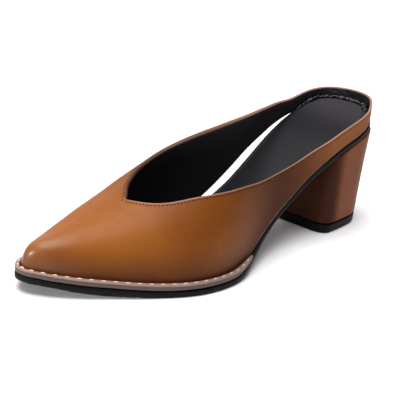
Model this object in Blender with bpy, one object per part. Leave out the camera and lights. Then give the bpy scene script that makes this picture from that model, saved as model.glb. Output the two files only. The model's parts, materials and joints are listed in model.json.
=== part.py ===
"""Left block heel mule with a pointed toe, a deep V throat and a low band round the heel.

All sizes are millimetres. X runs along the centreline of the heel towards the toe,
Y points to the outer side of the foot and Z points up from the floor.
"""

import math

import bpy
import numpy as np

# Named sizes

LENGTH = 245.5  # back of the heel seat to the tip of the toe, along X
BALL_WIDTH = 78.9  # width of the last's bottom across the ball
SEAT_HEIGHT = 65.8  # top of the outsole at the back of the seat
TREAD_LEVEL = 3.7  # top of the outsole under the ball
INSTEP_HEIGHT = 100.0  # height of the last over the instep, which the ridge follows
TOE_SWING = 31.5  # how far the toe turns to the inner side of the foot
TOE_ROUND = 8.0  # how far from the tip the inside starts to turn over the toe
WALL = 1.6  # leather and lining together
GAP = 0.3  # air left between two curved pieces
SOLE_WAIST = 3.4  # the outsole's thickness from the seat to the waist
SOLE_TOE = 3.35  # and at the toe
WELT_WIDTH = 4.0  # how far the sole stands out where the welt begins
WELT_THICK = 3.1
WELT_START = 0.545  # share of length where the welt rises out of the sole
WELT_FULL = 0.635  # and where it has its full thickness
INSOLE_BOARD = 2.5  # thickness of the insole under the forefoot
INSOLE_ROOM = 0.3  # air between the insole's edge and the lining, besides the gap
INSOLE_POINT = 1.0  # width at which the insole's toe ends
ARCH_LIFT = 10.0  # what the inner side's lift off the sole is a share of
SEAT_CENTRE = 27.0  # where the ribs round the heel point to
SIDE_POWER = 2.4  # how upright the sides stand: 2 is an ellipse, more is steeper
CREST_POWER = 2.4  # how flat the ridge is: 2 is an ellipse, more is flatter

HEEL_BACK = 5.6  # back of the top piece, ahead of the back of the seat
TIP_LENGTH = 55.0
TIP_WIDTH = 54.0
TIP_THICK = 6.0
TIP_CHAMFER = 0.7  # how far the worn lower edge of the top piece draws in
TIP_WORN = 0.8  # and how high it reaches
HEEL_TOP_BACK = 1.0  # back of the heel block under the sole
HEEL_FOOT_SHIFT = 0.05  # keeps the drawn-in lowest ring of the block over the top piece
HEEL_CORNER = 8.5  # rounding of the corners beside the breast
BREAST_TOP = 58.0  # front of the heel where it meets the sole

POINTS_PER_ROW = 16
ARCH_STEPS = 8

# Stations of the ribs: share of length where a stretch ends, how far apart its ribs are
# as a share of length, and the power that crowds them towards the heel (over 1) or the
# toe (under 1)

STRETCHES = [
    # along, spacing, crowding
    (0.040, 0.0080, 2.0),
    (0.690, 0.0250, 1.0),
    (0.788, 0.0075, 1.0),
    (0.950, 0.0147, 1.0),
    (1.000, 0.0055, 0.55),
]

# Bottom of the last: share of length, outer and inner edge as shares of ball width

LAST_BOTTOM = [
    # along, outer, inner
    (0.000, 0.000, 0.000),
    (0.012, 0.148, 0.160),
    (0.045, 0.243, 0.276),
    (0.110, 0.331, 0.331),
    (0.215, 0.333, 0.304),
    (0.340, 0.318, 0.246),
    (0.460, 0.356, 0.223),
    (0.570, 0.467, 0.292),
    (0.660, 0.542, 0.386),
    (0.740, 0.531, 0.429),
    (0.820, 0.424, 0.379),
    (0.890, 0.298, 0.267),
    (0.945, 0.196, 0.165),
    (0.980, 0.108, 0.094),
    (1.000, 0.000, 0.000),
]

# Height of the outsole's top: share of length, share of the climb from tread to seat

SOLE_CLIMB = [
    # along, climb
    (0.00, 1.000),
    (0.05, 0.981),
    (0.10, 0.941),
    (0.20, 0.821),
    (0.30, 0.638),
    (0.40, 0.409),
    (0.50, 0.198),
    (0.58, 0.066),
    (0.65, 0.000),
    (0.79, 0.000),
    (0.90, 0.035),
    (1.00, 0.089),
]

OUTSOLE_THICK = [
    # along, millimetres
    (0.00, SOLE_WAIST),
    (0.30, SOLE_WAIST),
    (0.52, (SOLE_WAIST + 2 * TREAD_LEVEL) / 3),
    (0.62, TREAD_LEVEL),
    (0.80, TREAD_LEVEL),
    (0.90, SOLE_TOE),
    (1.00, SOLE_TOE),
]

# How far the outsole stands out past the last's bottom, as a share of the welt's width

SOLE_MARGIN = [
    # along, share
    (0.00, 0.150),
    (0.40, 0.150),
    (0.50, 0.250),
    (0.55, 0.475),
    (0.61, 1.000),
    (0.70, 0.925),
    (0.90, 0.975),
    (1.00, 0.700),
]

# The insole is padded under the heel of the foot: thickness as a share of its board

INSOLE_THICK = [
    # along, share
    (0.00, 2.16),
    (0.06, 2.00),
    (0.10, 1.56),
    (0.15, 1.16),
    (0.25, 1.00),
    (1.00, 1.00),
]

# Ridge over the foot: share of length, height above the floor as a share of the
# instep's. Behind the throat it is only the crest that the side walls lean towards.

RIDGE = [
    # along, height
    (0.000, 1.277),
    (0.150, 1.187),
    (0.350, 0.972),
    (0.500, 0.832),
    (0.620, 0.682),
    (0.700, 0.547),
    (0.760, 0.441),
    (0.790, 0.401),
    (0.850, 0.339),
    (0.900, 0.300),
    (0.940, 0.269),
    (0.965, 0.249),
    (0.985, 0.221),
    (0.995, 0.183),
    (1.000, 0.134),
]

# Collar: share of length, and how far each side climbs its rib in degrees,
# where 90 reaches the ridge

COLLAR = [
    # along, outer, inner
    (0.000, 8.6, 8.6),
    (0.120, 7.2, 7.2),
    (0.240, 8.3, 16.0),
    (0.340, 12.5, 28.0),
    (0.430, 18.3, 38.7),
    (0.510, 25.9, 46.2),
    (0.580, 35.0, 53.2),
    (0.650, 45.2, 60.2),
    (0.710, 57.3, 69.0),
    (0.755, 68.9, 79.1),
    (0.775, 78.1, 86.8),
    (0.788, 90.0, 90.0),
]

# The inner side's lower edge lifts off the sole at the arch, as a share of ARCH_LIFT

ARCH_OPENING = [
    # along, lift
    (0.00, 0.00),
    (0.10, 0.00),
    (0.19, 0.29),
    (0.28, 0.63),
    (0.36, 0.90),
    (0.44, 0.76),
    (0.52, 0.32),
    (0.60, 0.19),
    (0.67, 0.00),
    (1.00, 0.00),
]

# Curves through the rows of a table


def slopes(at, value):
    """Slopes that keep a curve between its rows, so equal rows stay flat."""
    step = np.diff(at)
    rate = np.diff(value) / step
    slope = np.zeros(len(at))
    slope[0] = rate[0]
    slope[-1] = rate[-1]
    for k in range(1, len(at) - 1):
        if rate[k - 1] * rate[k] > 0:
            before = 2 * step[k] + step[k - 1]
            after = step[k] + 2 * step[k - 1]
            slope[k] = (before + after) / (before / rate[k - 1] + after / rate[k])
    return slope


def curve(table, along, column=1):
    """The smooth curve through one column of a table, at the given shares."""
    at = np.array([row[0] for row in table])
    value = np.array([row[column] for row in table], float)
    along = np.clip(np.asarray(along, float), at[0], at[-1])
    slope = slopes(at, value)
    k = np.clip(np.searchsorted(at, along, side="right") - 1, 0, len(at) - 2)
    width = at[k + 1] - at[k]
    t = (along - at[k]) / width
    start = (1 + 2 * t) * (1 - t) ** 2 * value[k] + t * (1 - t) ** 2 * width * slope[k]
    end = t**2 * (3 - 2 * t) * value[k + 1] + t**2 * (t - 1) * width * slope[k + 1]
    return start + end


def loop_through(points, per_row):
    """A closed curve through plan points, with per_row points to each of them."""
    made = []
    count = len(points)
    for k in range(count):
        corner = [points[(k + shift) % count] for shift in (-1, 0, 1, 2)]
        knot = [0.0]
        for a, b in zip(corner[:-1], corner[1:]):
            knot.append(knot[-1] + math.sqrt(math.dist(a, b)))
        for part in range(per_row):
            t = knot[1] + (knot[2] - knot[1]) * part / per_row
            made.append(between(corner, knot, t))
    return np.array(made)


def between(corner, knot, t):
    """One point of the curve between the second and third corner."""
    row = [np.array(point, float) for point in corner]
    for level in (1, 2, 3):
        for k in range(4 - level):
            if level == 3:
                low, high = knot[1], knot[2]
            else:
                low, high = knot[k], knot[k + level]
            share = (t - low) / (high - low)
            row[k] = row[k] * (1 - share) + row[k + 1] * share
    return row[0]


def stations():
    """Where the ribs stand along X."""
    made = [0.0]
    for along, spacing, crowding in STRETCHES:
        start = made[-1]
        end = along * LENGTH
        ribs = max(1, round((end - start) / (spacing * LENGTH)))
        for k in range(1, ribs + 1):
            made.append(start + (end - start) * (k / ribs) ** crowding)
    return np.array(made)


def last_edges():
    """Outer and inner edge of the last's bottom, at the same stations from heel to toe."""
    outer = [(row[0] * LENGTH, row[1] * BALL_WIDTH) for row in LAST_BOTTOM]
    inner = [(row[0] * LENGTH, -row[2] * BALL_WIDTH) for row in LAST_BOTTOM]
    loop = loop_through(outer + inner[-2:0:-1], POINTS_PER_ROW)
    half = (len(LAST_BOTTOM) - 1) * POINTS_PER_ROW
    sides = [loop[: half + 1], np.vstack([loop[half:], loop[:1]])[::-1]]
    x = stations()
    swing = TOE_SWING * (x / LENGTH) ** 2
    made = []
    for side in sides:
        y = np.interp(x, *side.T)
        y[[0, -1]] = 0.0  # the two sides meet at the back of the seat and at the tip
        made.append(np.column_stack([x, y - swing]))
    return made


OUTER, INNER = last_edges()


def moved_out(edge, distance):
    """The edge moved away from the foot by a distance at each of its points."""
    along = np.gradient(edge, axis=0)
    away = np.stack([-along[:, 1], along[:, 0]], axis=1)
    half = len(edge) // 2
    if edge[half, 1] < (OUTER[half, 1] + INNER[half, 1]) / 2:
        away = -away
    away /= np.linalg.norm(away, axis=1)[:, None]
    away[0] = (-1, 0)
    tip = OUTER[-1] - (OUTER[-4] + INNER[-4]) / 2
    away[-1] = tip / np.linalg.norm(tip)
    return edge + away * np.asarray(distance, float).reshape(-1, 1)


def sole_top(x):
    """Height of the outsole's top at x."""
    climb = curve(SOLE_CLIMB, np.asarray(x) / LENGTH)
    return TREAD_LEVEL + climb * (SEAT_HEIGHT - TREAD_LEVEL)


def sole_under(x):
    """Height of the outsole's underside at x."""
    return sole_top(x) - curve(OUTSOLE_THICK, np.asarray(x) / LENGTH)


def centre_y(x):
    """Middle of the last's bottom at x."""
    outer = np.interp(x, OUTER[:, 0], OUTER[:, 1])
    inner = np.interp(x, INNER[:, 0], INNER[:, 1])
    return (outer + inner) / 2


# Meshes


def add_piece(name, points, faces):
    """A closed mesh object from points in millimetres."""
    mesh = bpy.data.meshes.new(name)
    mesh.from_pydata([tuple(p) for p in np.asarray(points) * 0.001], [], faces)
    piece = bpy.data.objects.new(name, mesh)
    bpy.context.collection.objects.link(piece)
    bpy.context.view_layer.objects.active = piece
    piece.select_set(True)
    bpy.ops.object.mode_set(mode="EDIT")
    bpy.ops.mesh.select_all(action="SELECT")
    bpy.ops.mesh.remove_doubles(threshold=0.000005)
    bpy.ops.mesh.normals_make_consistent(inside=False)
    bpy.ops.object.mode_set(mode="OBJECT")
    bpy.ops.object.shade_smooth_by_angle(angle=math.radians(40))
    piece.select_set(False)
    return piece


def grid_faces(rows, columns, first=0, closed=False):
    """Quads between neighbouring rows of a grid of points."""
    faces = []
    for i in range(rows - 1):
        for j in range(columns if closed else columns - 1):
            k = (j + 1) % columns
            faces.append(
                (
                    first + i * columns + j,
                    first + i * columns + k,
                    first + (i + 1) * columns + k,
                    first + (i + 1) * columns + j,
                )
            )
    return faces


def bed(name, outer, inner, top, under, across=6):
    """A bed between two edges, with its top and underside given as heights by x."""
    rounds = []
    share = np.linspace(0, 1, across + 1)
    for left, right in zip(outer, inner):
        line = left + (right - left) * share[:, None]
        upper_side = np.column_stack([line, top(line[:, 0])])
        under_side = np.column_stack([line, under(line[:, 0])])[::-1]
        rounds.append(np.vstack([upper_side, under_side]))
    points = np.vstack(rounds)
    columns = 2 * (across + 1)
    faces = grid_faces(len(rounds), columns, closed=True)
    faces.append(tuple(range(columns)))
    faces.append(tuple(range(len(points) - columns, len(points))))
    return add_piece(name, points, faces)


# Upper


def crest_height(x, depth):
    """Height of the ridge, or of the ridge inside a wall of the given depth."""
    ahead = min(1.0, (x + depth) / LENGTH)
    drop = min(1.0, max(0.0, LENGTH - depth - x) / TOE_ROUND)
    return INSTEP_HEIGHT * float(curve(RIDGE, ahead)) - depth * drop * drop * (3 - 2 * drop)


def rib(foot, x, climb, lift, depth):
    """Points up one rib of the upper, from the sole to the collar or the ridge."""
    level = float(sole_top(foot[0])) + GAP
    crest_x = max(x, SEAT_CENTRE + (x - SEAT_CENTRE) * 0.5)
    crest = np.array([crest_x, centre_y(crest_x)])
    high = crest_height(crest_x, depth) - level
    low = math.asin(min(1.0, lift / high) ** (SIDE_POWER / 2))
    made = []
    for angle in np.linspace(low, math.radians(climb), ARCH_STEPS + 1):
        inward = 1 - max(math.cos(angle), 0.0) ** (2 / CREST_POWER)
        plan = foot + (crest - foot) * inward
        made.append((*plan, level + high * math.sin(angle) ** (2 / SIDE_POWER)))
    return made


def upper_side(edge, column, depth):
    """The grid of ribs on one side, from the back of the heel to the toe."""
    ribs = []
    for foot, x in zip(moved_out(edge, np.full(len(edge), -depth)), edge[:, 0]):
        along = max(x, 0) / LENGTH
        climb = float(curve(COLLAR, along, column))
        lift = ARCH_LIFT * float(curve(ARCH_OPENING, along)) if column == 2 else 0.0
        inside_x = depth + x * (1 - 2 * depth / LENGTH)
        ribs.append(rib(foot, inside_x, climb, lift, depth))
    return np.array(ribs)


def make_upper():
    """Outer and inner skins of ribs, joined round the sole, the collar and the arch."""
    steps = ARCH_STEPS + 1
    throat = int(np.argmax(OUTER[:, 0] / LENGTH >= COLLAR[-1][0] - 1e-6))
    points = []
    faces = []
    for edge, column in ((OUTER, 1), (INNER, 2)):
        first = len(points)
        skins = [upper_side(edge, column, depth) for depth in (0.0, WALL)]
        size = len(edge) * steps
        for skin in skins:
            faces += grid_faces(len(edge), steps, first=len(points))
            points += [tuple(p) for p in skin.reshape(-1, 3)]
        for i in range(len(edge) - 1):
            rims = [0] if i >= throat else [0, ARCH_STEPS]
            for j in rims:
                here = first + i * steps + j
                after = here + steps
                faces.append((here, after, after + size, here + size))
    return add_piece("upper", points, faces)


# Sole, welt and insole


def sole_margin(x):
    """How far the outsole stands out past the last's bottom at x."""
    return WELT_WIDTH * curve(SOLE_MARGIN, x / LENGTH)


def make_outsole():
    outer = moved_out(OUTER, sole_margin(OUTER[:, 0]))
    inner = moved_out(INNER, sole_margin(INNER[:, 0]))
    return bed("outsole", outer, inner, sole_top, sole_under)


def make_insole():
    inset = -(WALL + GAP + INSOLE_ROOM)
    outer = moved_out(OUTER, inset)[1:-1]
    inner = moved_out(INNER, inset)[1:-1]
    keep = outer[:, 1] - inner[:, 1] > INSOLE_POINT

    def top(x):
        return sole_top(x) + GAP + INSOLE_BOARD * curve(INSOLE_THICK, np.asarray(x) / LENGTH)

    def under(x):
        return sole_top(x) + GAP

    return bed("insole", outer[keep], inner[keep], top, under)


def make_welt():
    rounds = []
    for edge, backwards in ((OUTER, False), (INNER, True)):
        along = edge[:, 0] / LENGTH
        inner = moved_out(edge, np.full(len(edge), GAP))
        outer = moved_out(edge, sole_margin(edge[:, 0]))
        rows = []
        for k in range(len(edge)):
            risen = (along[k] - WELT_START) / (WELT_FULL - WELT_START)
            if risen < 0.1:
                continue
            thick = WELT_THICK * min(1.0, risen)
            rows.append(
                [
                    (*inner[k], sole_top(inner[k, 0]) + GAP),
                    (*outer[k], sole_top(outer[k, 0]) + GAP),
                    (*outer[k], sole_top(outer[k, 0]) + GAP + thick),
                    (*inner[k], sole_top(inner[k, 0]) + GAP + thick),
                ]
            )
        rounds += rows[::-1][1:] if backwards else rows
    points = np.array(rounds, float).reshape(-1, 3)
    faces = grid_faces(len(rounds), 4, closed=True)
    faces.append((0, 1, 2, 3))
    faces.append(tuple(range(len(points) - 4, len(points))))
    return add_piece("welt", points, faces)


# Heel and top piece


def heel_plan(back, front, width, corner, steps=10):
    """Half of a D shape, from the middle of the back round to the middle of the breast."""
    half = width / 2
    made = []
    for angle in np.linspace(0, math.pi / 2, steps + 1):
        made.append((back + half * (1 - math.cos(angle)), half * math.sin(angle)))
    straight = front - corner
    made.append(((back + half + straight) / 2, half))
    for angle in np.linspace(0, math.pi / 2, 5):
        x = straight + corner * math.sin(angle)
        made.append((x, half - corner + corner * math.cos(angle)))
    made.append((front, (half - corner) / 2))
    return np.array(made)


def block(name, plans, heights):
    """A block lofted through half plans, mirrored in y, with a height for each point."""
    rows = []
    for plan, height in zip(plans, heights):
        other = plan[::-1] * (1, -1)
        ring = np.vstack([plan, other])
        rows.append(np.column_stack([ring, np.concatenate([height, height[::-1]])]))
    columns = len(rows[0])
    points = np.vstack(rows)
    faces = grid_faces(len(rows), columns, closed=True)
    for first in (0, len(points) - columns):
        for k in range(columns // 2 - 1):
            across = columns - 1 - k
            faces.append((first + k, first + k + 1, first + across - 1, first + across))
    return add_piece(name, points, faces)


def make_heel():
    foot = heel_plan(HEEL_BACK, HEEL_BACK + TIP_LENGTH, TIP_WIDTH, HEEL_CORNER)
    seat = heel_plan(HEEL_TOP_BACK, BREAST_TOP, BALL_WIDTH * 0.66, HEEL_CORNER)
    plans = []
    heights = []
    for share in (0, 0.01, 0.25, 0.5, 0.75, 0.93, 1):
        ease = share**1.5
        plan = foot + (seat - foot) * ease
        if share == 0:
            plan = foot * 0.998 + (HEEL_FOOT_SHIFT, 0)
        top = sole_under(plan[:, 0]) - GAP
        plans.append(plan)
        heights.append(TIP_THICK + GAP + (top - TIP_THICK - GAP) * share)
    return block("heel", plans, heights)


def make_heel_tip():
    foot = heel_plan(HEEL_BACK, HEEL_BACK + TIP_LENGTH, TIP_WIDTH, HEEL_CORNER)
    back = HEEL_BACK + TIP_CHAMFER
    front = HEEL_BACK + TIP_LENGTH - TIP_CHAMFER
    small = heel_plan(back, front, TIP_WIDTH - 2 * TIP_CHAMFER, HEEL_CORNER)
    plans = [small, foot, foot]
    heights = [np.full(len(foot), level) for level in (0.0, TIP_WORN, TIP_THICK)]
    return block("heel_tip", plans, heights)


# Build, then put the origin under the middle of the shoe


bpy.ops.object.select_all(action="SELECT")
bpy.ops.object.delete()

pieces = [
    make_upper(),
    make_insole(),
    make_welt(),
    make_outsole(),
    make_heel(),
    make_heel_tip(),
]

corners = np.array([v.co[:] for piece in pieces for v in piece.data.vertices])
middle = (corners.min(axis=0) + corners.max(axis=0)) / 2
for piece in pieces:
    for vertex in piece.data.vertices:
        vertex.co.x -= middle[0]
        vertex.co.y -= middle[1]
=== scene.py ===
# %% [markdown]
# # Block heel mule
#
# A mule is a shoe with no back to hold the foot. This one has a pointed toe, a deep V
# throat and a low band that runs round the heel seat. The frame below is the exact
# model in metres, and each cell dresses one of its pieces with its leather, thread
# or rubber.

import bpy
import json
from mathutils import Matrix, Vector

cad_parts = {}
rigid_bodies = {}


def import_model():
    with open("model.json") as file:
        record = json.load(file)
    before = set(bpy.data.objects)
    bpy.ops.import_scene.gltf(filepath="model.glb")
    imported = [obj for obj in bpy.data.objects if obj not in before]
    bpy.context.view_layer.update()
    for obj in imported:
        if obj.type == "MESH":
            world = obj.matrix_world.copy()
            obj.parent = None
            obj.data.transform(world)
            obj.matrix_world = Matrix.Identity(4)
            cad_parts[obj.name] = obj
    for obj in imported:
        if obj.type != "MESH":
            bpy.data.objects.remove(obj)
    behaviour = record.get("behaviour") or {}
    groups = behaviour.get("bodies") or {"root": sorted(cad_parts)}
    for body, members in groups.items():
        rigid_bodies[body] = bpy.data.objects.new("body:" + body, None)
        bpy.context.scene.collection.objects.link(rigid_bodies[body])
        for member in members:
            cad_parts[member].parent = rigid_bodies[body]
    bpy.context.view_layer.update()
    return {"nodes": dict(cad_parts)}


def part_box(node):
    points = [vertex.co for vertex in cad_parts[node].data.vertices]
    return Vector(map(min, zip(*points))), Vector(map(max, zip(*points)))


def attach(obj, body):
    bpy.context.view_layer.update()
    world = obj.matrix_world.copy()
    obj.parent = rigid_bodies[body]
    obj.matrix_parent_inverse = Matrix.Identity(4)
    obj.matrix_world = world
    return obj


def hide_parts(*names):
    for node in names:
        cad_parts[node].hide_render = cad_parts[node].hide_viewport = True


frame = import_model()

# %% [markdown]
# ## Measures and helpers
#
# The shoe's own zero is the back of the heel seat, on the middle line of the heel. All
# places that the photograph gives are worked out from there, most of them as a distance
# ahead of it. The other helpers select, bevel and subdivide, as one does by hand.

# %% Places and selections
import json
import math

import bmesh
import bpy
import numpy as np
from mathutils import Matrix, Quaternion, Vector, noise
from mathutils.bvhtree import BVHTree
from mathutils.kdtree import KDTree

MM = 0.001
TIP_LOW, TIP_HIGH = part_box("heel_tip")
BACK_OF_TIP = 5.6 * MM
SHOE_ZERO = Vector((TIP_LOW.x - BACK_OF_TIP, (TIP_LOW.y + TIP_HIGH.y) / 2, 0))
print("the shoe's zero in the frame", [round(value, 5) for value in SHOE_ZERO])


def ahead(millimetres):
    """A place along the frame, so far ahead of the shoe's zero."""
    return SHOE_ZERO.x + millimetres * MM


def only(piece):
    """Deselect everything else and make this piece the one that tools act on."""
    bpy.ops.object.select_all(action="DESELECT")
    piece.select_set(True)
    bpy.context.view_layer.objects.active = piece


def pick_nothing(piece, kind):
    """Make this piece the active one, in edge or face mode, with nothing on it selected."""
    only(piece)
    bpy.ops.object.mode_set(mode="EDIT")
    bpy.ops.mesh.select_mode(type=kind)
    bpy.ops.mesh.select_all(action="DESELECT")
    bpy.ops.object.mode_set(mode="OBJECT")


# %% Copies of the model's pieces
SAME_POINT = 0.01 * MM
QUAD_FOLD = math.radians(60)
QUAD_SKEW = math.radians(80)


def copy_of(node, name):
    """A merged copy of a node's mesh, with its triangles joined into quads again."""
    mesh = frame["nodes"][node].data.copy()
    mesh.materials.clear()
    mesh.name = name
    piece = bpy.data.objects.new(name, mesh)
    bpy.context.collection.objects.link(piece)
    only(piece)
    if mesh.has_custom_normals:
        bpy.ops.mesh.customdata_custom_splitnormals_clear()
    bpy.ops.object.mode_set(mode="EDIT")
    bpy.ops.mesh.select_all(action="SELECT")
    bpy.ops.mesh.remove_doubles(threshold=SAME_POINT)
    bpy.ops.mesh.tris_convert_to_quads(face_threshold=QUAD_FOLD, shape_threshold=QUAD_SKEW)
    bpy.ops.mesh.select_all(action="DESELECT")
    bpy.ops.object.mode_set(mode="OBJECT")
    quads = sum(len(face.vertices) == 4 for face in mesh.polygons)
    print(name, "has", len(mesh.polygons), "faces,", quads, "of them quads")
    return piece


# %% Sharp edges and regions
def mark_sharp(piece, angle):
    """Mark the edges that fold by more than an angle, so that they bound regions."""
    pick_nothing(piece, "EDGE")
    bpy.ops.object.mode_set(mode="EDIT")
    bpy.ops.mesh.edges_select_sharp(sharpness=math.radians(angle))
    bpy.ops.mesh.mark_sharp()
    bpy.ops.mesh.select_all(action="DESELECT")
    bpy.ops.object.mode_set(mode="OBJECT")


def paint_region(piece, start_face, slot):
    """Give one material slot to the faces that are linked to a face up to sharp edges."""
    pick_nothing(piece, "FACE")
    piece.data.polygons[start_face].select = True
    bpy.ops.object.mode_set(mode="EDIT")
    bpy.ops.mesh.select_linked(delimit={"SHARP"})
    bpy.ops.object.mode_set(mode="OBJECT")
    chosen = [face for face in piece.data.polygons if face.select]
    for face in chosen:
        face.material_index = slot
    print(piece.name, "slot", slot, "has", len(chosen), "faces")


# %% Rounded edges and smooth surfaces
AS_FACES_ARE = -1


def round_edges(piece, width, slot=AS_FACES_ARE):
    """Bevel the marked edges, as a knife-cut edge wears, in a slot or as their faces are."""
    pick_nothing(piece, "EDGE")
    for edge in piece.data.edges:
        edge.select = edge.use_edge_sharp
    bpy.ops.object.mode_set(mode="EDIT")
    bpy.ops.mesh.bevel(
        offset=width, offset_type="OFFSET", segments=1, affect="EDGES", material=slot
    )
    bpy.ops.mesh.select_all(action="SELECT")
    bpy.ops.mesh.mark_sharp(clear=True)
    bpy.ops.mesh.select_all(action="DESELECT")
    bpy.ops.object.mode_set(mode="OBJECT")


def refine(piece, levels):
    """Apply a subdivision surface, then smooth shading."""
    only(piece)
    modifier = piece.modifiers.new("refine", "SUBSURF")
    modifier.levels = levels
    modifier.render_levels = levels
    bpy.ops.object.modifier_apply(modifier=modifier.name)
    bpy.ops.object.shade_smooth()
    print(piece.name, "has", len(piece.data.polygons), "faces after", levels, "levels")


# %% [markdown]
# ## Finishes
#
# A finish is a node material. The two small classes below let a finish be written as a
# sum: a value wraps a socket, and the signs between values add the Math nodes.


# %% Values and finishes
class Value:
    """A socket in a sum."""

    def __init__(self, finish, socket):
        self.finish = finish
        self.socket = socket

    def maths(self, operation, first, second):
        return self.finish.node("ShaderNodeMath", {"operation": operation}, {0: first, 1: second})

    def __add__(self, other):
        return self.maths("ADD", self, other)

    def __radd__(self, other):
        return self.maths("ADD", other, self)

    def __sub__(self, other):
        return self.maths("SUBTRACT", self, other)

    def __rsub__(self, other):
        return self.maths("SUBTRACT", other, self)

    def __mul__(self, other):
        return self.maths("MULTIPLY", self, other)

    def __rmul__(self, other):
        return self.maths("MULTIPLY", other, self)


class Finish:
    """A material and the means to wire it."""

    def __init__(self, name):
        self.material = bpy.data.materials.new(name)
        self.material.use_nodes = True
        self.tree = self.material.node_tree
        self.surface = self.tree.nodes["Principled BSDF"]
        self.place = self.node("ShaderNodeTexCoord", {}, {}, output="Object")

    def node(self, kind, settings, sockets, output=0):
        """Any node: its settings first, then the values or links of its sockets."""
        made = self.tree.nodes.new(kind)
        for key, value in settings.items():
            setattr(made, key, value)
        for key, value in sockets.items():
            self.feed(made.inputs[key], value)
        return Value(self, made.outputs[output])

    def feed(self, socket, value):
        if isinstance(value, Value):
            self.tree.links.new(value.socket, socket)
        else:
            socket.default_value = value

    def set(self, **sockets):
        """Values or links for the Principled shader, with spaces as underscores."""
        for key, value in sockets.items():
            self.feed(self.surface.inputs[key.replace("_", " ")], value)

    def mix(self, share, first, second):
        """Two colours in one. A Mix node's colours are its inputs 6 and 7 and output 2."""
        sockets = {0: share, 6: first, 7: second}
        return self.node("ShaderNodeMix", {"data_type": "RGBA"}, sockets, output=2)

    def noise(self, scale, detail=2.0, rough=0.5, stretch=None):
        """Soft clouds, as many to a metre as scale says, longer or shorter by stretch."""
        place = self.place
        if stretch:
            sockets = {0: place, 1: stretch}
            place = self.node("ShaderNodeVectorMath", {"operation": "MULTIPLY"}, sockets)
        sockets = {"Vector": place, "Scale": scale, "Detail": detail, "Roughness": rough}
        return self.node("ShaderNodeTexNoise", {}, sockets)

    def cells(self, scale):
        """Small closed cells, as many to a metre as scale says."""
        return self.node("ShaderNodeTexVoronoi", {}, {"Vector": self.place, "Scale": scale})

    def ramp(self, value, low, high):
        """0 below low, 1 above high and smooth between."""
        sockets = {0: value, 1: low, 2: high, 3: 0.0, 4: 1.0}
        return self.node("ShaderNodeMapRange", {"interpolation_type": "SMOOTHSTEP"}, sockets)

    def along(self):
        """The place along the shoe, in the frame's metres."""
        return self.node("ShaderNodeSeparateXYZ", {}, {0: self.place})

    def across(self):
        """The place across the shoe, more towards its outer side."""
        return self.node("ShaderNodeSeparateXYZ", {}, {0: self.place}, output=1)

    def measure(self, name):
        """A number stored on the mesh for each point."""
        return self.node("ShaderNodeAttribute", {"attribute_name": name}, {}, output="Fac")

    def bump(self, height, distance, strength):
        """Relief that light sees, at most as deep as distance."""
        sockets = {"Height": height, "Distance": distance, "Strength": strength}
        return self.node("ShaderNodeBump", {}, sockets)


def tone(red, green, blue):
    """A colour as the eye sees it on a screen, 0 to 255, as the shader's own numbers."""
    made = []
    for value in (red, green, blue):
        share = value / 255
        made.append(share / 12.92 if share <= 0.04045 else ((share + 0.055) / 1.055) ** 2.4)
    return (*made, 1.0)


# %% [markdown]
# ## Tan leather
#
# The upper and the heel's wrap are smooth calf leather: drum-dyed tan, with a fine closed
# grain and a light wax shine. It is worked out from patterns in space, so it needs no
# picture and stays sharp close up. A Voronoi pattern gives the small cells of the grain,
# and two noises give the slow change of colour and the pores that any hide has. Darker
# zones are then laid over that colour with masks: the pores, and painted shade on the
# upper's waist and lower part and on the heel's breast.


# %% Calf leather
HIDE_SCALE = 24.0
PORE_SCALE = 420.0
CELL_SCALE = 1500.0
CLOUD_FROM = 0.32
CLOUD_TO = 0.7
PORE_FROM = 0.5
PORE_TO = 0.75
PORE_SHARE = 0.14
CELL_RELIEF = 0.6
PORE_RELIEF = 0.5
ROUGH_SPREAD = 0.16
DULLED_BY = 0.3
WAX_ROUGHNESS = 0.34
GRAIN_DEPTH = 0.05 * MM


class Calf(Finish):
    """Tan calf leather, whose colour is laid down in the order of the calls."""

    def __init__(self, name, light, dark, grain_and_shade_tone):
        super().__init__(name)
        self.grain_and_shade_tone = grain_and_shade_tone
        self.slow = self.noise(HIDE_SCALE, 3.0)
        self.fine = self.noise(PORE_SCALE, 4.0, 0.6)
        self.colour = self.mix(self.ramp(self.slow, CLOUD_FROM, CLOUD_TO), dark, light)

    def darken_grain_and_shade(self, mask):
        """Darken the leather as far as a mask says: its pores, and painted shade."""
        self.colour = self.mix(mask, self.colour, self.grain_and_shade_tone)

    def wax(self, rough, gloss, dull, coat):
        """Pores, grain and shine, with less shine where the dull mask says."""
        self.darken_grain_and_shade(self.ramp(self.fine, PORE_FROM, PORE_TO) * PORE_SHARE)
        height = self.cells(CELL_SCALE) * CELL_RELIEF + self.fine * PORE_RELIEF
        self.set(
            Base_Color=self.colour,
            Roughness=self.fine * ROUGH_SPREAD + (rough - ROUGH_SPREAD / 2) + dull * DULLED_BY,
            Specular_IOR_Level=gloss,
            Coat_Weight=coat,
            Coat_Roughness=WAX_ROUGHNESS,
            Normal=self.bump(height, GRAIN_DEPTH, 0.5),
        )
        print(self.material.name, "has", len(self.tree.nodes), "nodes")
        return self.material


# %% [markdown]
# The upper is darker at the waist, where the foot's arch is: painted shade. It is darker
# towards the sole as well, painted shade where the wall turns down to the welt. Round the
# seat the band is a paler, redder tan, and the very toe was polished. The distance from the
# sole is stored on the mesh further down, and the other zones read the place along the shoe.

# %% Leather of the upper
WAIST_BACK = ahead(50)
WAIST_MIDDLE = ahead(110)
WAIST_FRONT = ahead(168)
WAIST_SHADE_SHARE = 0.74
SEAT_TAN = tone(154, 94, 60)
SEAT_SHARE = 0.75
SOLE_SHADE_UP_TO = 3 * MM
SOLE_SHADE_FADED = 24 * MM
SOLE_SHADE_WANDER = 6 * MM
SOLE_SHADE_SHARE = 0.64
SOLE_SHADE_AT_HEEL = 0.25
POLISH_FROM = ahead(222)
POLISH_TO = ahead(242)
TOE_POLISH = 0.46
THIN_WAX = 0.03


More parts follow.
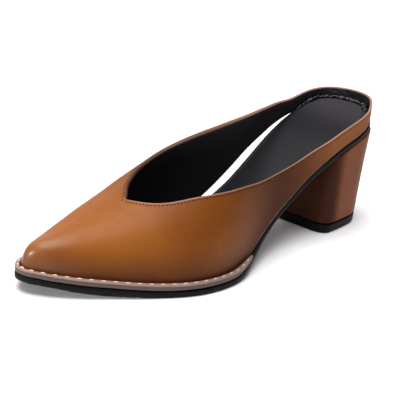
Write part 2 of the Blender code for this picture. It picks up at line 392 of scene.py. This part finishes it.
def upper_leather():
    made = Calf(
        "tan_leather", light=tone(125, 72, 24), dark=tone(114, 62, 20), grain_and_shade_tone=tone(54, 22, 8)
    )
    behind_vamp = 1 - made.ramp(made.along(), WAIST_MIDDLE, WAIST_FRONT)
    seat = 1 - made.ramp(made.along(), WAIST_BACK, WAIST_MIDDLE)
    made.colour = made.mix(seat * SEAT_SHARE, made.colour, SEAT_TAN)
    # Painted shade at the waist, between the seat and the vamp.
    made.darken_grain_and_shade(behind_vamp * (1 - seat) * WAIST_SHADE_SHARE)
    # Painted shade towards the sole, where the wall turns down to the welt, weaker at the heel.
    height = made.measure("from_sole") + made.slow * SOLE_SHADE_WANDER
    low = 1 - made.ramp(height, SOLE_SHADE_UP_TO, SOLE_SHADE_FADED)
    forward = made.ramp(made.along(), WAIST_BACK, WAIST_FRONT)
    forward = forward * (1 - SOLE_SHADE_AT_HEEL) + SOLE_SHADE_AT_HEEL
    made.darken_grain_and_shade(low * forward * SOLE_SHADE_SHARE)
    polish = made.ramp(made.along(), POLISH_FROM, POLISH_TO) * TOE_POLISH
    return made.wax(rough=0.44, gloss=0.1, dull=behind_vamp, coat=polish + THIN_WAX)


TAN = upper_leather()

# %% [markdown]
# The heel is wrapped in the same leather. Its breast, the flat face that looks forward,
# is painted dark brown as painted shade. The folded edge round the opening has rubbed paler
# and greyer than the rest, and it is dark only on the inner side of the V throat.

# %% Leather of the heel and of the folded edge
BREAST_FROM = ahead(47)
BREAST_TO = ahead(58)
BREAST_WANDER = 5 * MM
BREAST_SHADE_SHARE = 0.85
THROAT_FROM = ahead(150)
THROAT_TO = ahead(178)
INNER_FROM = SHOE_ZERO.y - 19 * MM
INNER_TO = SHOE_ZERO.y - 16 * MM
THROAT_SHARE = 0.9
EDGE_WAX = 0.06


def heel_leather():
    made = Calf(
        "heel_wrap", light=tone(121, 61, 19), dark=tone(108, 53, 17), grain_and_shade_tone=tone(40, 22, 16)
    )
    # Painted shade on the breast, which faces forward.
    breast = made.ramp(made.along() + made.slow * BREAST_WANDER, BREAST_FROM, BREAST_TO)
    made.darken_grain_and_shade(breast * BREAST_SHADE_SHARE)
    return made.wax(rough=0.5, gloss=0.1, dull=breast, coat=THIN_WAX)


def edge_leather():
    made = Calf(
        "folded_edge", light=tone(150, 114, 95), dark=tone(132, 98, 82), grain_and_shade_tone=tone(66, 34, 18)
    )
    throat = made.ramp(made.along(), THROAT_FROM, THROAT_TO)
    inner = 1 - made.ramp(made.across(), INNER_FROM, INNER_TO)
    made.darken_grain_and_shade(throat * inner * THROAT_SHARE)
    return made.wax(rough=0.5, gloss=0.2, dull=throat, coat=EDGE_WAX)


HEEL_TAN = heel_leather()
EDGE = edge_leather()

# %% [markdown]
# ## Lining and sock
#
# The lining is thin black kid that shines where it is pulled over the heel seat. A
# facing strip runs round inside the top edge, and its lower edge is a small step. Its
# place comes from the distance to the collar, which is stored on the mesh as well. The
# sock on the insole is the same black, with a paler grey painted sheen at its heel end.

# %% Lining and turned lining
FACING = 4.6 * MM
FACING_STEP = 0.15 * MM
PULLED_TO = ahead(18)
PULLED_FADED = ahead(34)
CREASE_STRETCH = (1.0, 1.0, 0.6)


def lining_leather():
    made = Finish("black_lining")
    fine = made.noise(700.0, 3.0)
    slow = made.noise(60.0, 3.0)
    crease = made.noise(330.0, 2.0, 0.4, CREASE_STRETCH)
    pulled = 1 - made.ramp(made.along(), PULLED_TO, PULLED_FADED)
    drop = made.measure("from_collar")
    facing = 1 - made.ramp(drop, FACING - FACING_STEP, FACING + FACING_STEP)
    colour = made.mix(slow, tone(27, 26, 30), tone(40, 39, 44))
    relief = fine * 0.12 + facing * 0.6 + crease * pulled * 2.2
    made.set(
        Base_Color=made.mix(facing * 0.6, colour, tone(44, 42, 46)),
        Roughness=fine * 0.2 + 0.36 - pulled * 0.2,
        Normal=made.bump(relief, 0.35 * MM, 0.8),
    )
    return made.material


def shiny_kid():
    made = Finish("shiny_kid")
    fine = made.noise(900.0, 3.0)
    slow = made.noise(120.0, 3.0)
    made.set(
        Base_Color=made.mix(slow, tone(5, 5, 7), tone(12, 12, 15)),
        Roughness=slow * 0.3 + 0.12,
        Specular_IOR_Level=0.22,
        Normal=made.bump(fine, 0.08 * MM, 0.6),
    )
    return made.material


LINING = lining_leather()
KID = shiny_kid()
print("linings", LINING.name, KID.name)

# %% Sock
SHEEN_TO = ahead(14)
SHEEN_FADED = ahead(46)
SHEEN_WANDER = 8 * MM


def sock_leather():
    made = Finish("insole_sock")
    fine = made.noise(900.0, 3.0)
    slow = made.noise(35.0, 3.0)
    # A painted sheen: paler grey at the heel end of the sock.
    painted_sheen = 1 - made.ramp(made.along() + slow * SHEEN_WANDER, SHEEN_TO, SHEEN_FADED)
    colour = made.mix(slow, tone(16, 14, 18), tone(23, 21, 25))
    made.set(
        Base_Color=made.mix(painted_sheen, colour, tone(48, 45, 50)),
        Roughness=slow * 0.12 + 0.42,
        Specular_IOR_Level=0.12,
        Normal=made.bump(fine, 0.05 * MM, 0.4),
    )
    return made.material


SOCK = sock_leather()
print("sock", SOCK.name)

# %% [markdown]
# ## Welt, rubber and thread
#
# The welt is a strip of leather. Its fibres lie along it, so its noise is pressed
# flat. The sole and the top piece are black rubber with a fine matt skin. Both threads are
# twisted, and the dark one of the collar has rubbed paler towards the heel.

# %% Welt, rubber and threads
FIBRE_STRETCH = (1.0, 1.0, 5.0)


def welt_leather(name, light, dark, deep):
    made = Finish(name)
    fibre = made.noise(500.0, 4.0, 0.6, FIBRE_STRETCH)
    slow = made.noise(90.0, 3.0)
    colour = made.mix(slow, dark, light)
    colour = made.mix(made.ramp(fibre, 0.48, 0.78) * 0.4, colour, deep)
    made.set(Base_Color=colour, Roughness=0.55, Normal=made.bump(fibre, 0.08 * MM, 0.6))
    return made.material


def sole_rubber():
    made = Finish("black_rubber")
    fine = made.noise(1100.0, 3.0)
    slow = made.noise(70.0, 2.0)
    made.set(
        Base_Color=made.mix(slow, tone(6, 4, 4), tone(11, 8, 7)),
        Roughness=fine * 0.2 + 0.46,
        Specular_IOR_Level=0.12,
        Normal=made.bump(fine, 0.04 * MM, 0.5),
    )
    return made.material


def thread(name, light, dark, gloss, worn=None):
    made = Finish(name)
    twist = made.noise(1800.0, 2.0)
    colour = made.mix(twist, dark, light)
    if worn:
        heelward = 1 - made.ramp(made.along(), WAIST_BACK, WAIST_FRONT)
        colour = made.mix(heelward, colour, worn)
    made.set(
        Base_Color=colour,
        Roughness=0.6,
        Specular_IOR_Level=gloss,
        Normal=made.bump(twist, 0.05 * MM, 0.6),
    )
    return made.material


# The welt's side is a darker copy of its top's leather: painted shade.
WELT_SHADED_SIDE = welt_leather("welt_side_shaded", tone(80, 63, 58), tone(64, 50, 46), tone(36, 27, 25))
WELT_TOP = welt_leather("welt_top", tone(140, 111, 99), tone(122, 96, 86), tone(86, 64, 58))
RUBBER = sole_rubber()
CREAM = thread("cream_thread", tone(236, 214, 192), tone(206, 182, 158), 0.5)
DARK_THREAD = thread(
    "brown_thread", tone(52, 20, 12), tone(34, 13, 8), 0.05, worn=tone(104, 56, 28)
)
print("finishes", [material.name for material in bpy.data.materials])

# %% [markdown]
# ## Rows and measures on a mesh
#
# Stitches follow an edge of the shoe. The edge is walked from vertex to vertex on the
# unrefined copy, then points are spaced along it at the pitch of the sewing. The same
# row of points gives each vertex its distance from the collar or from the sole.


# %% Rows
def row_of(piece, wanted):
    """The edges that a test accepts, as one row of points in order."""
    reader = bmesh.new()
    reader.from_mesh(piece.data)
    links = {}
    for edge in reader.edges:
        if len(edge.link_faces) == 2 and wanted(edge):
            first, second = edge.verts
            links.setdefault(first.index, []).append(second.index)
            links.setdefault(second.index, []).append(first.index)
    ends = [index for index, near in links.items() if len(near) == 1]
    order = [ends[0] if ends else min(links)]
    seen = set(order)
    while True:
        near = [index for index in links[order[-1]] if index not in seen]
        if not near:
            break
        order.append(near[0])
        seen.add(near[0])
    if not ends:
        order.append(order[0])
    reader.verts.ensure_lookup_table()
    points = np.array([reader.verts[index].co[:] for index in order])
    reader.free()
    print("a row of", len(points), "points from", len(links), "on", piece.name)
    return points


def spaced(points, pitch, skip=0.0):
    """Places at one pitch along a row, each with its direction."""
    steps = np.linalg.norm(np.diff(points, axis=0), axis=1)
    run = np.concatenate([[0], np.cumsum(steps)])

    def at(distance):
        return Vector([np.interp(distance, run, points[:, axis]) for axis in range(3)])

    sewn = run[-1] - 2 * skip
    count = max(2, round(sewn / pitch))
    made = []
    for distance in skip + (np.arange(count) + 0.5) * sewn / count:
        heading = at(distance + pitch / 2) - at(distance - pitch / 2)
        made.append((at(distance), heading.normalized()))
    return made


# %% Measures
ROW_STEP = 0.4 * MM


def store_distance(piece, name, points):
    """Give every vertex its distance from a row of points."""
    dense = [place for place, along in spaced(points, ROW_STEP)]
    tree = KDTree(len(dense))
    for index, place in enumerate(dense):
        tree.insert(place, index)
    tree.balance()
    values = [tree.find(vertex.co)[2] for vertex in piece.data.vertices]
    layer = piece.data.attributes.new(name, "FLOAT", "POINT")
    layer.data.foreach_set("value", values)
    print(name, "on", piece.name, "runs up to", round(max(values) / MM, 1), "mm")


def surface_of(piece, slot):
    """A search tree over the faces in a material slot."""
    places = [vertex.co for vertex in piece.data.vertices]
    faces = [face.vertices[:] for face in piece.data.polygons if face.material_index == slot]
    return BVHTree.FromPolygons(places, faces)


def face_where(piece, score):
    """The face with the highest score."""
    return max(piece.data.polygons, key=score).index


def between(first, second):
    """A test for the edges that part two material slots."""
    return lambda edge: {face.material_index for face in edge.link_faces} == {first, second}


# %% [markdown]
# ## Upper
#
# On the real shoe the upper is one piece of leather, lasted over a wooden form and
# glued down under the sock, with a thin black lining behind it and its top edge folded
# over. The frame's solid has that wall already, so a refined copy of it keeps the true
# form. Its sharp edges bound four regions: the outside, the lining, the folded top edge
# and the cut edge below. Three of them are found each from one face, which a score picks
# out by where it is and which way it looks; the folded top edge is the rest.

# %% Regions of the upper
OUTSIDE, INSIDE, FOLD, CUT = range(4)
SHARP_FOLD = 50
TOEWARD = 4
UPWARD = 12


def vamp_score(face):
    """Highest on the outside of the toe box, which looks up."""
    return face.normal.z + face.center.x * TOEWARD


def lining_score(face):
    """Highest under the vamp, which looks down from well above the sole."""
    return -face.normal.z + face.center.z * UPWARD + face.center.x * TOEWARD


def cut_score(face):
    """Highest on the lowest face that isn't painted yet."""
    return (face.material_index == FOLD, -face.center.z)


upper = copy_of("upper", "upper_leather")
for material in (TAN, LINING, EDGE, LINING):
    upper.data.materials.append(material)
for face in upper.data.polygons:
    face.material_index = FOLD
mark_sharp(upper, SHARP_FOLD)
paint_region(upper, face_where(upper, vamp_score), OUTSIDE)
paint_region(upper, face_where(upper, lining_score), INSIDE)
paint_region(upper, face_where(upper, cut_score), CUT)

# %% Refined upper
FOLD_ROUNDED = 0.3 * MM
collar = row_of(upper, between(OUTSIDE, FOLD))
feather = row_of(upper, between(OUTSIDE, CUT))
round_edges(upper, FOLD_ROUNDED, FOLD)
refine(upper, 2)
store_distance(upper, "from_collar", collar)
store_distance(upper, "from_sole", feather)

# %% [markdown]
# At the back the lining lies in small pulled creases. They are real moves of its
# vertices, by two noises, so that they are in the mesh too and not only in the light.

# %% Creases in the lining at the heel
CREASE_END = ahead(26)
CREASE_FADE = 12 * MM
CREASE_DEPTH = 0.32 * MM


def ripple(place, coarse, fine, fine_share):
    """Wrinkles of two sizes, so many to a metre, as one number at a place."""
    return noise.noise(place * coarse) + fine_share * noise.noise(place * fine)


inside_points = set()
other_points = set()
for face in upper.data.polygons:
    points = inside_points if face.material_index == INSIDE else other_points
    points.update(face.vertices)
moved = 0
for index in inside_points - other_points:
    vertex = upper.data.vertices[index]
    share = min(1.0, max(0.0, (CREASE_END - vertex.co.x) / CREASE_FADE))
    if share > 0:
        height = ripple(vertex.co, coarse=260, fine=610, fine_share=0.5)
        vertex.co += vertex.normal * (height * CREASE_DEPTH * share)
        moved += 1
print("creased", moved, "vertices of the lining")
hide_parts("upper")
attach(upper, "root")

# %% [markdown]
# ## Insole, welt, outsole, heel and top piece
#
# Each of these is a refined copy of its solid: the edges are first bevelled as much as
# the real one is worn or sanded, so the subdivision keeps them crisp. The welt's side is
# a darker copy of its top's leather, which is painted shade, so the top has a slot of its own.


# %% A dressed copy
TOP = 1


def dressed(node, name, finishes, width, sharp=SHARP_FOLD, edge=None):
    """A refined copy with rounded edges in the place of its node, and a row of one edge."""
    piece = copy_of(node, name)
    for material in finishes:
        piece.data.materials.append(material)
    mark_sharp(piece, sharp)
    if len(finishes) > 1:
        paint_region(piece, face_where(piece, lambda face: face.normal.z), TOP)
    row = row_of(piece, edge) if edge else None
    round_edges(piece, width)
    refine(piece, 2)
    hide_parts(node)
    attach(piece, "root")
    return piece, row


# %% Insole and welt
WELT_LOW, WELT_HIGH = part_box("welt")
FOREFOOT = Vector((ahead(175), (WELT_LOW.y + WELT_HIGH.y) / 2, 0))
SIDE_LOOKS_UP_BY = 0.5
TOP_LOOKS_UP_BY = 0.6


def top_edge(edge):
    """True for an edge between the top and a side."""
    low, high = sorted(face.normal.z for face in edge.link_faces)
    return low < SIDE_LOOKS_UP_BY and high > TOP_LOOKS_UP_BY


def outer_edge(edge):
    """True for a top edge whose side looks away from the middle of the forefoot."""
    side = min(edge.link_faces, key=lambda face: face.normal.z)
    place = (edge.verts[0].co + edge.verts[1].co) / 2 - FOREFOOT
    return top_edge(edge) and side.normal.x * place.x + side.normal.y * place.y > 0


_, sock_edge = dressed(
    "insole", "insole_sock", [SOCK], width=0.8 * MM, edge=top_edge
)
welt, welt_edge = dressed(
    "welt", "welt_strip", [WELT_SHADED_SIDE, WELT_TOP], width=0.35 * MM, edge=outer_edge
)

# %% Outsole, heel and top piece
dressed("outsole", "outsole_rubber", [RUBBER], width=0.45 * MM)
dressed("heel", "heel_block", [HEEL_TAN], width=0.5 * MM)
dressed("heel_tip", "top_piece", [RUBBER], width=0.3 * MM, sharp=35)

# %% [markdown]
# ## Turned lining at the heel
#
# At the back the lining is glued down under the sock and stands up beside it in a soft
# shiny roll, full of small creases. A thin tube is laid along the edge of the insole,
# thinner towards its ends, and its points are pushed in and out by noise.

# %% Route of the turned lining
ROLL_END = ahead(40)
ROLL_RADIUS = 1.8 * MM
ROLL_INSET = 1.7 * MM
ROLL_STEP = 0.7 * MM
ROLL_THIN_END = 0.25
ROLL_TAPER = 5
first_point = int(np.argmax(sock_edge[:-1, 0]))
loop = np.roll(sock_edge[:-1], -first_point, axis=0)
near_heel = loop[loop[:, 0] < ROLL_END]
seat_middle = Vector((ahead(32), near_heel[:, 1].mean(), 0))
route = spaced(near_heel, ROLL_STEP)
curve = bpy.data.curves.new("turned_lining", "CURVE")
curve.dimensions = "3D"
curve.bevel_depth = ROLL_RADIUS
curve.bevel_resolution = 3
curve.use_fill_caps = True
spline = curve.splines.new("POLY")
spline.points.add(len(route) - 1)
for index, (point, along) in enumerate(route):
    inward = (seat_middle - point) * Vector((1, 1, 0))
    place = point + inward.normalized() * ROLL_INSET
    share = index / (len(route) - 1)
    fullness = min(1, ROLL_TAPER * share, ROLL_TAPER * (1 - share))
    spline.points[index].co = (*place, 1)
    spline.points[index].radius = ROLL_THIN_END + (1 - ROLL_THIN_END) * fullness
print("the turned lining runs through", len(route), "places")

# %% Turned lining
ROLL_CREASE = 0.75 * MM
roll = bpy.data.objects.new("turned_lining", curve)
bpy.context.collection.objects.link(roll)
only(roll)
bpy.ops.object.convert(target="MESH")
roll = bpy.context.active_object
refine(roll, 1)
for vertex in roll.data.vertices:
    height = ripple(vertex.co, coarse=300, fine=800, fine_share=0.6)
    vertex.co += vertex.normal * (height * ROLL_CREASE)
roll.data.materials.clear()
roll.data.materials.append(KID)
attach(roll, "root")
print("turned lining:", len(roll.data.polygons), "faces")

# %% [markdown]
# ## Stitches
#
# The welt is sewn to the sole with a thick cream thread, about five stitches to 30 mm,
# and the folded collar with a fine dark one, about five to 10 mm. One stitch of each is
# made from a cube: drawn out, cut in three along its length, its ends narrowed and
# pushed into the leather and its middle lifted. It is then copied along the row.

# %% One stitch
FLATTENED = 0.7
PINCHED = 0.6


def one_stitch(length, width, lift):
    """A short arched thread along x, with its ends below the surface."""
    bpy.ops.object.select_all(action="DESELECT")
    bpy.ops.mesh.primitive_cube_add(size=1.0, location=(0, 0, 0))
    piece = bpy.context.active_object
    bpy.ops.object.mode_set(mode="EDIT")
    bpy.ops.mesh.select_all(action="SELECT")
    bpy.ops.transform.resize(value=(length, width, width * FLATTENED))
    bpy.ops.object.mode_set(mode="OBJECT")
    pick_nothing(piece, "EDGE")
    for edge in piece.data.edges:
        first, second = (piece.data.vertices[index].co for index in edge.vertices)
        edge.select = abs(first.x - second.x) > length / 2
    bpy.ops.object.mode_set(mode="EDIT")
    bpy.ops.mesh.subdivide(number_cuts=2)
    bpy.ops.object.mode_set(mode="OBJECT")
    for vertex in piece.data.vertices:
        if abs(vertex.co.x) < length / 4:
            vertex.co.z += lift
        else:
            vertex.co.y *= PINCHED
            vertex.co.z -= lift
    refine(piece, 1)
    return piece


# %% A row of stitches
def sew(name, pattern, places, finish):
    """Copies of a stitch at places of (point, along, out), joined in one piece."""
    copies = []
    for point, along, out in places:
        across = out.cross(along).normalized()
        turn = Matrix((along, across, along.cross(across))).transposed().to_4x4()
        mesh = pattern.data.copy()
        mesh.transform(Matrix.Translation(point) @ turn)
        copy = bpy.data.objects.new(name, mesh)
        bpy.context.collection.objects.link(copy)
        copies.append(copy)
    bpy.data.objects.remove(pattern)
    bpy.ops.object.select_all(action="DESELECT")
    for copy in copies:
        copy.select_set(True)
    bpy.context.view_layer.objects.active = copies[0]
    bpy.ops.object.join()
    row = bpy.context.active_object
    row.name = name
    row.data.materials.append(finish)
    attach(row, "root")
    print(name, "has", len(places), "stitches and", len(row.data.polygons), "faces")


# %% Welt stitches
WELT_PITCH = 5.9 * MM
WELT_ENDS = 5 * MM
WELT_INSET = 1.55 * MM
WELT_PROUD = 0.08 * MM
FROM_ABOVE = Vector((0, 0, 5 * MM))
DOWN = Vector((0, 0, -1))
welt_surface = surface_of(welt, TOP)
places = []
for point, along in spaced(welt_edge, WELT_PITCH, WELT_ENDS):
    inward = Vector((-along.y, along.x, 0)).normalized()
    if inward.dot(FOREFOOT - point) < 0:
        inward.negate()
    hit, normal, _, _ = welt_surface.ray_cast(point + inward * WELT_INSET + FROM_ABOVE, DOWN)
    if hit:
        places.append((hit + normal * WELT_PROUD, along, normal))
cream_stitch = one_stitch(length=2.7 * MM, width=0.75 * MM, lift=0.15 * MM)
sew("welt_stitches", cream_stitch, places, CREAM)

# %% Collar stitches
COLLAR_PITCH = 1.85 * MM
COLLAR_DROP = 1.7 * MM
OFF_SURFACE = 0.4 * MM
SLANT = math.radians(10)
outside = surface_of(upper, OUTSIDE)


def gap_to_outside(place):
    """How far a place is from the outside of the upper."""
    return outside.find_nearest(place)[3]


places = []
for point, along in spaced(collar, COLLAR_PITCH):
    _, normal, _, _ = outside.find_nearest(point)
    down = normal.cross(along).normalized() * COLLAR_DROP
    if gap_to_outside(point + down) > gap_to_outside(point - down):
        down.negate()
    hit, normal, _, gap = outside.find_nearest(point + down)
    if gap < OFF_SURFACE:
        slanted = (along - normal * along.dot(normal)).normalized()
        slanted.rotate(Quaternion(normal, SLANT))
        places.append((hit, slanted, normal))
dark_stitch = one_stitch(length=1.35 * MM, width=0.55 * MM, lift=0.08 * MM)
sew("collar_stitches", dark_stitch, places, DARK_THREAD)

# %% [markdown]
# ## Floor and camera
#
# The shoe stands on a wide sheet of white paper. The camera's place and lens were found
# by laying the model's outline over the shoe's outline in the photograph, and they are
# turned here from that fit's pixels into Blender's lens and shift.

# %% Floor
FLOOR_SIZE = 14.0
bpy.ops.object.select_all(action="DESELECT")
bpy.ops.mesh.primitive_plane_add(size=FLOOR_SIZE, location=(0, 0, 0))
floor = bpy.context.active_object
floor.name = "floor"
paper = Finish("white_paper")
white = paper.mix(paper.noise(3.0), tone(246, 246, 247), tone(250, 250, 251))
paper.set(Base_Color=white, Roughness=0.75)
floor.data.materials.append(paper.material)
print("a floor of", FLOOR_SIZE, "m")

# %% Camera
AZIMUTH = math.radians(34.532)
RISE = math.radians(19.263)
ROLL = math.radians(7.403)
DISTANCE = 0.495
AIM = SHOE_ZERO + Vector((0.12, 0, 0.04))
FOCUS_PIXELS = 885.278
CENTRE_PIXEL = (238.662, 180.73)
IMAGE = 400
FILM = 36.0

level = Vector((math.cos(AZIMUTH), math.sin(AZIMUTH), 0))
back = level * math.cos(RISE) + Vector((0, 0, math.sin(RISE)))
right = (-back).cross(Vector((0, 0, 1))).normalized()
up = right.cross(-back)
turned_right = math.cos(ROLL) * right + math.sin(ROLL) * up
turned_up = -math.sin(ROLL) * right + math.cos(ROLL) * up
turn = Matrix((turned_right, turned_up, back)).transposed().to_4x4()
eye = AIM + back * DISTANCE
camera_data = bpy.data.cameras.new("camera")
camera_data.sensor_width = FILM
camera_data.lens = FOCUS_PIXELS / IMAGE * FILM
camera_data.shift_x = (IMAGE / 2 - CENTRE_PIXEL[0]) / IMAGE
camera_data.shift_y = (CENTRE_PIXEL[1] - IMAGE / 2) / IMAGE
camera_data.clip_end = 50.0
camera = bpy.data.objects.new("camera", camera_data)
camera.matrix_world = Matrix.Translation(eye) @ turn
bpy.context.collection.objects.link(camera)
bpy.context.scene.camera = camera
print("camera at", [round(value, 4) for value in eye], "lens", round(camera_data.lens, 2))

# %% [markdown]
# ## Lights
#
# The photograph is lit as for a shop: a large soft light overhead, a second one that only
# whitens the paper behind, and a weak one from the far side. A small narrow spot makes the
# highlight on the polished toe, which the large lights are too soft to give.


# %% Lights
def aim_lamp(lamp, target):
    """Turn a lamp so that it shines at a place."""
    lamp.rotation_euler = (target - lamp.location).to_track_quat("-Z", "Y").to_euler()


def softbox(name, place, target, width, height, power):
    """A flat soft lamp that shines at a target."""
    bpy.ops.object.select_all(action="DESELECT")
    bpy.ops.object.light_add(type="AREA", location=place)
    lamp = bpy.context.active_object
    lamp.name = name
    lamp.data.shape = "RECTANGLE"
    lamp.data.size = width
    lamp.data.size_y = height
    lamp.data.energy = power
    aim_lamp(lamp, Vector(target))
    print(name, "gives", power, "W")


softbox("overhead", (0.12, -0.1, 1.2), (0, 0, 0), width=1.2, height=1.0, power=28.0)
softbox("background", (-0.9, -0.7, 0.9), (-1.6, -1.2, 0), width=0.8, height=0.8, power=14.0)
softbox("far_side", (-0.2, -0.75, 0.42), (0.05, 0, 0.04), width=0.6, height=0.3, power=1.2)

# %% Spot on the toe
TOE = SHOE_ZERO + Vector((0.243, -0.03, 0.036))
SPOT_FROM_TOE = Vector((0.62, -0.19, 0.24))
spot_data = bpy.data.lights.new("toe_spot", "SPOT")
spot_data.energy = 38.0
spot_data.spot_size = math.radians(6)
spot_data.spot_blend = 1.0
spot_data.shadow_soft_size = 0.03
spot = bpy.data.objects.new("toe_spot", spot_data)
spot.location = TOE + SPOT_FROM_TOE
aim_lamp(spot, TOE)
bpy.context.collection.objects.link(spot)
print("spot at", [round(value, 3) for value in spot.location])

# %% Studio walls
WALL_TINT = (1.0, 0.9, 0.92, 1.0)
WALL_LIGHT = 0.22
world = bpy.data.worlds.new("studio")
world.use_nodes = True
walls = world.node_tree.nodes["Background"]
walls.inputs["Color"].default_value = WALL_TINT
walls.inputs["Strength"].default_value = WALL_LIGHT
bpy.context.scene.world = world
bpy.context.scene.view_settings.view_transform = "Standard"
print("walls give", WALL_LIGHT)
